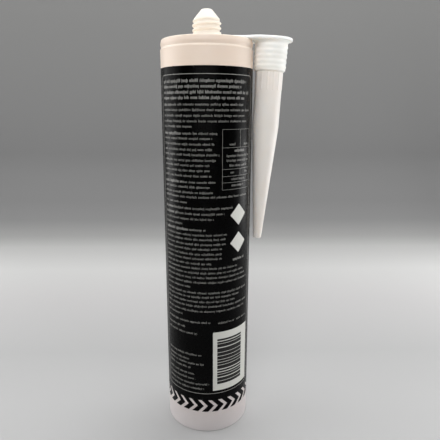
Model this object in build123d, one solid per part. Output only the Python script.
from build123d import *
import math
import os

# Sealant cartridge standing on its open rear end, nozzle hung upside down at its side.
# Millimetres. Z is the barrel's axis and points to the neck, the nozzle hangs on the +X side.

# Barrel
barrel_radius = 24.5
barrel_height = 221.0
barrel_wall = 1.25
rear_lead_depth = 14.0
rear_lead_step = 0.3
rear_edge_round = 0.4
rim_band_height = 3.75
rim_edge_round = 0.5
groove_depth = 0.35
groove_ledge_height = 0.95
groove_lip_height = 0.2
rim_recess_depth = 2.0
rim_land = 2.1
head_thickness = 1.8
head_corner_round = 2.0

# Neck, with its closed tip that is cut off before use
pilot_radius = 8.0
pilot_height = 2.9
hub_land = 1.3
neck_root_radius = 6.75
flare_height = 1.4
threaded_length = 6.4
neck_cone_height = 4.7
neck_tip_radius = 2.75
neck_tip_round = 0.7
neck_wall = 1.4
neck_tip_wall = 1.2
thread_pitch = 2.4
thread_depth = 1.0
thread_foot_width = 1.7
thread_crest_width = 0.6
thread_sink = 0.25
thread_runout = 1.0
thread_start_angle = 225

# Printed field, a thin layer of ink with an edge of arrow strokes
print_thickness = 0.12
print_bottom = 13.6
print_top = 206.75
arrow_band_height = 7.7
arrow_reach = 3.6
arrow_stroke = 1.65
arrow_pitch = 5.92
arrow_start_angle = -2.7

# Nozzle and its carrying plate, one moulding
plate_thickness = 1.5
plate_half_width = 11.0
plate_edge_round = 0.4
ring_clearance = 0.1
nozzle_lean = 2.75
nozzle_gap = 0.35
socket_radius = 8.65
socket_draft = 0.3
socket_length = 16.2
socket_root_round = 0.9
bead_pitch = 2.5
bead_height = 0.22
bead_width = 1.3
bead_count = 6
spout_radius = 7.25
spout_parallel_length = 29.3
spout_cone_length = 64.0
spout_tip_radius = 2.3
spout_tip_round = 0.9
spout_wall = 1.15
spout_channel_radius = 1.1
fin_height = 0.3
fin_width = 1.0
fin_length = 10.1
fin_count = 14
socket_bore_radius = 7.2
socket_bore_depth = 15.0
mouth_lead = 0.6

# Plunger
plunger_inset = 19.0
plunger_height = 16.0
plunger_clearance = 0.05
plunger_lip_width = 1.5
plunger_lip_height = 0.6
plunger_wall = 1.3
plunger_crown = 1.6
plunger_inner_round = 1.5
plunger_rib_count = 8
plunger_rib_width = 1.2
plunger_rib_reach = 3.0
plunger_rib_drop = 4.5

# Sealant
sealant_clearance = 0.05

# Length by which a cutting solid runs past the face that it cuts
overrun = 1.0

# Levels and radii that follow from the sizes above
barrel_bore = barrel_radius - barrel_wall
print_radius = barrel_radius + print_thickness
head_floor = barrel_height - rim_recess_depth
head_underside = head_floor - head_thickness
plate_top = barrel_height + plate_thickness
pilot_top = barrel_height + pilot_height
thread_bottom = pilot_top + flare_height
neck_shoulder = thread_bottom + threaded_length
neck_top = neck_shoulder + neck_cone_height
neck_crest_radius = neck_root_radius + thread_depth
neck_bore = neck_root_radius - neck_wall
plunger_crown_level = plunger_inset + plunger_height
plunger_radius = barrel_bore - plunger_clearance
lean = math.radians(nozzle_lean)
socket_foot_radius = socket_radius - socket_draft
spout_parallel_end = socket_length + spout_parallel_length
nozzle_length = spout_parallel_end + spout_cone_length


def side_reach(radius, depth):
    """How far a leaning round part of this radius, this deep under the mouth, stands towards the barrel."""
    return radius / math.cos(lean) + depth * math.sin(lean)


socket_reach = side_reach(socket_foot_radius + bead_height, socket_length)
spout_reach = side_reach(spout_radius, spout_parallel_end)
nozzle_axis_x = print_radius + nozzle_gap + max(socket_reach, spout_reach)


def half_section(points, rounds=()):
    """Upright face from (radius, height) points, with a fillet at each listed (corner, radius)."""
    face = Face(Wire(Polyline(*points, close=True).edges()))
    for corner, radius in rounds:
        vertex = face.vertices().sort_by_distance((*corner, 0))[0]
        face = face.fillet_2d(radius, [vertex])
    return Plane.XZ * face


def turned(points, rounds=()):
    """Solid of revolution about Z."""
    return revolve(half_section(points, rounds), axis=Axis.Z)


def inner_outline(inset):
    """Half outline of the space in barrel and neck above the plunger, drawn in by inset."""
    bore = barrel_bore - inset
    ceiling = head_underside - inset
    neck = neck_bore - inset
    cone_bottom = neck_shoulder - inset
    cone_top = neck_top - neck_tip_wall - inset
    cone_radius = neck_tip_radius - inset
    return [
        (0, plunger_crown_level),
        (bore, plunger_crown_level),
        (bore, ceiling),
        (neck, ceiling),
        (neck, cone_bottom),
        (cone_radius / 2, cone_top),
        (0, cone_top),
    ]


def neck_thread():
    """Helical ridge of the neck, run out into the flare below and into the cone above."""
    start = pilot_top
    rise = neck_shoulder + thread_runout - start
    path = Pos(0, 0, start) * Helix(thread_pitch, rise, neck_root_radius)
    foot = neck_root_radius - thread_sink
    ridge = Plane.XZ * Face(
        Wire(
            Polyline(
                (foot, start - thread_foot_width / 2),
                (neck_crest_radius, start - thread_crest_width / 2),
                (neck_crest_radius, start + thread_crest_width / 2),
                (foot, start + thread_foot_width / 2),
                close=True,
            ).edges()
        )
    )
    coil = sweep(ridge, path=path, is_frenet=True)
    envelope = turned(
        [
            (0, barrel_height),
            (neck_crest_radius + thread_sink, barrel_height),
            (neck_crest_radius + thread_sink, neck_shoulder),
            (neck_root_radius - thread_depth, neck_shoulder + thread_pitch / 2),
            (0, neck_shoulder + thread_pitch / 2),
        ]
    )
    return Rot(0, 0, thread_start_angle) * (coil & envelope)


def cartridge_barrel():
    """Tube, recessed head and closed neck, blown and moulded as one wall."""
    groove_level = barrel_height - rim_band_height
    hub_radius = pilot_radius + hub_land
    land_inner = barrel_radius - rim_land
    outside = turned(
        [
            (0, 0),
            (barrel_radius, 0),
            (barrel_radius, groove_level - groove_ledge_height),
            (barrel_radius - groove_depth, groove_level),
            (barrel_radius, groove_level + groove_lip_height),
            (barrel_radius, barrel_height),
            (land_inner, barrel_height),
            (land_inner, head_floor),
            (hub_radius, head_floor),
            (hub_radius, barrel_height),
            (pilot_radius, barrel_height),
            (pilot_radius, pilot_top),
            (neck_root_radius, thread_bottom),
            (neck_root_radius, neck_shoulder),
            (neck_tip_radius, neck_top),
            (0, neck_top),
        ],
        [
            ((barrel_radius, 0), rear_edge_round),
            ((barrel_radius, barrel_height), rim_edge_round),
            ((land_inner, head_floor), rim_edge_round),
            ((neck_tip_radius, neck_top), neck_tip_round),
        ],
    )
    cavity = turned(inner_outline(0), [((barrel_bore, head_underside), head_corner_round)])
    bore = Pos(0, 0, -overrun) * extrude(Circle(barrel_bore), plunger_crown_level + overrun)
    lead = turned(
        [
            (0, -overrun),
            (barrel_bore + rear_lead_step, -overrun),
            (barrel_bore + rear_lead_step, rear_lead_depth),
            (barrel_bore, rear_lead_depth + rear_lead_step),
            (0, rear_lead_depth + rear_lead_step),
        ]
    )
    return outside + neck_thread() - cavity - bore - lead


def arrow_stroke_cutter():
    """One arrow stroke in the flat, across the band at the lower edge of the print."""
    half = arrow_band_height / 2
    across = arrow_stroke / math.sin(math.atan2(half, arrow_reach)) / 2
    return Face(
        Wire(
            Polyline(
                (-arrow_reach - across, half),
                (-across, 0),
                (-arrow_reach - across, -half - overrun),
                (-arrow_reach + across, -half - overrun),
                (across, 0),
                (-arrow_reach + across, half),
                close=True,
            ).edges()
        )
    )


def printed_field():
    """Sleeve of ink round the barrel, its lower edge cut through by a row of arrow strokes."""
    height = print_top - print_bottom
    sleeve = extrude(Circle(print_radius) - Circle(barrel_radius), height)
    sleeve = Pos(0, 0, print_bottom) * sleeve
    count = round(2 * math.pi * barrel_radius / arrow_pitch)
    level = print_bottom + arrow_band_height / 2
    stroke = extrude(arrow_stroke_cutter(), barrel_wall + print_thickness)
    placed = Pos(0, -barrel_radius + barrel_wall, level) * (Plane.XZ * stroke)
    turns = [arrow_start_angle + index * 360 / count for index in range(count)]
    return sleeve - [Rot(0, 0, turn) * placed for turn in turns]


def nozzle_outside():
    """Socket with its beads, parallel spout and cone, hanging down from a mouth at the origin."""
    top = plate_thickness / 2
    body = turned(
        [
            (0, -top),
            (socket_radius + socket_root_round, -top),
            (socket_radius + socket_root_round, -plate_thickness),
            (socket_radius, -plate_thickness - socket_root_round),
            (socket_foot_radius, -socket_length),
            (spout_radius, -socket_length - (socket_foot_radius - spout_radius) / 2),
            (spout_radius, -spout_parallel_end),
            (spout_tip_radius, -nozzle_length),
            (0, -nozzle_length),
        ],
        [
            ((socket_foot_radius, -socket_length), plate_edge_round),
            ((spout_tip_radius, -nozzle_length), spout_tip_round),
        ],
    )
    for index in range(bead_count):
        depth = socket_length - bead_width - index * bead_pitch
        radius = socket_radius - socket_draft * depth / socket_length
        body += turned(
            [
                (0, -depth - bead_width / 2),
                (radius, -depth - bead_width / 2),
                (radius + bead_height, -depth),
                (radius, -depth + bead_width / 2),
                (0, -depth + bead_width / 2),
            ]
        )
    fin = Box(
        spout_radius + fin_height,
        fin_width,
        fin_length,
        align=(Align.MIN, Align.CENTER, Align.MAX),
    )
    for index in range(fin_count):
        body += Rot(0, 0, index * 360 / fin_count) * Pos(0, 0, -socket_length) * fin
    return body


def nozzle_inside():
    """Socket bore and channel down to the tip hole, in the same place as the outside."""
    channel = spout_radius - spout_wall
    seat = -socket_bore_depth
    return turned(
        [
            (0, overrun),
            (socket_bore_radius + mouth_lead, overrun),
            (socket_bore_radius + mouth_lead, 0),
            (socket_bore_radius, -mouth_lead),
            (socket_bore_radius, seat),
            (channel, seat - (socket_bore_radius - channel)),
            (channel, -spout_parallel_end),
            (spout_channel_radius, -nozzle_length - overrun),
            (0, -nozzle_length - overrun),
        ]
    )


def nozzle():
    """Carrying plate with the ring round the neck, and the nozzle leaning in towards the barrel."""
    plate = SlotCenterToCenter(nozzle_axis_x, 2 * plate_half_width)
    plate = extrude(Pos(nozzle_axis_x / 2, 0, barrel_height) * plate, plate_thickness)
    plate = fillet(plate.edges().filter_by(Plane.XY), plate_edge_round)
    mouth = Pos(nozzle_axis_x, 0, plate_top) * Rot(0, nozzle_lean, 0)
    ring_hole = Pos(0, 0, barrel_height - overrun) * extrude(
        Circle(pilot_radius + ring_clearance), plate_thickness + 2 * overrun
    )
    return plate + mouth * nozzle_outside() - mouth * nozzle_inside() - ring_hole


def plunger():
    """Cup-shaped piston with a sealing lip at each end and short ribs inside its skirt."""
    body = plunger_radius - plunger_lip_height
    inner = body - plunger_wall
    bottom = plunger_inset
    top = plunger_crown_level
    roof = top - plunger_crown
    cup = turned(
        [
            (0, top),
            (plunger_radius - plunger_lip_height, top),
            (plunger_radius, top - plunger_lip_height),
            (plunger_radius, top - plunger_lip_width),
            (body, top - plunger_lip_width - plunger_lip_height),
            (body, bottom + plunger_lip_width + plunger_lip_height),
            (plunger_radius, bottom + plunger_lip_width),
            (plunger_radius, bottom + plunger_lip_height),
            (body, bottom),
            (inner, bottom),
            (inner, roof),
            (0, roof),
        ],
        [((inner, roof), plunger_inner_round)],
    )
    rib_height = plunger_height - plunger_crown - plunger_rib_drop
    rib = Box(
        plunger_rib_reach + plunger_wall / 2,
        plunger_rib_width,
        rib_height + plunger_crown / 2,
        align=(Align.MAX, Align.CENTER, Align.MIN),
    )
    for index in range(plunger_rib_count):
        turn = Rot(0, 0, (index + 0.5) * 360 / plunger_rib_count)
        cup += turn * Pos(inner + plunger_wall / 2, 0, bottom + plunger_rib_drop) * rib
    return cup


def sealant():
    """Paste that fills the barrel above the plunger and the neck up to its closed tip."""
    top_corner = (barrel_bore - sealant_clearance, head_underside - sealant_clearance)
    return turned(inner_outline(sealant_clearance), [(top_corner, head_corner_round)])


os.makedirs("parts", exist_ok=True)
export_step(cartridge_barrel(), "parts/cartridge_barrel.step")
export_step(printed_field(), "parts/printed_field.step")
export_step(nozzle(), "parts/nozzle.step")
export_step(plunger(), "parts/plunger.step")
export_step(sealant(), "parts/sealant.step")
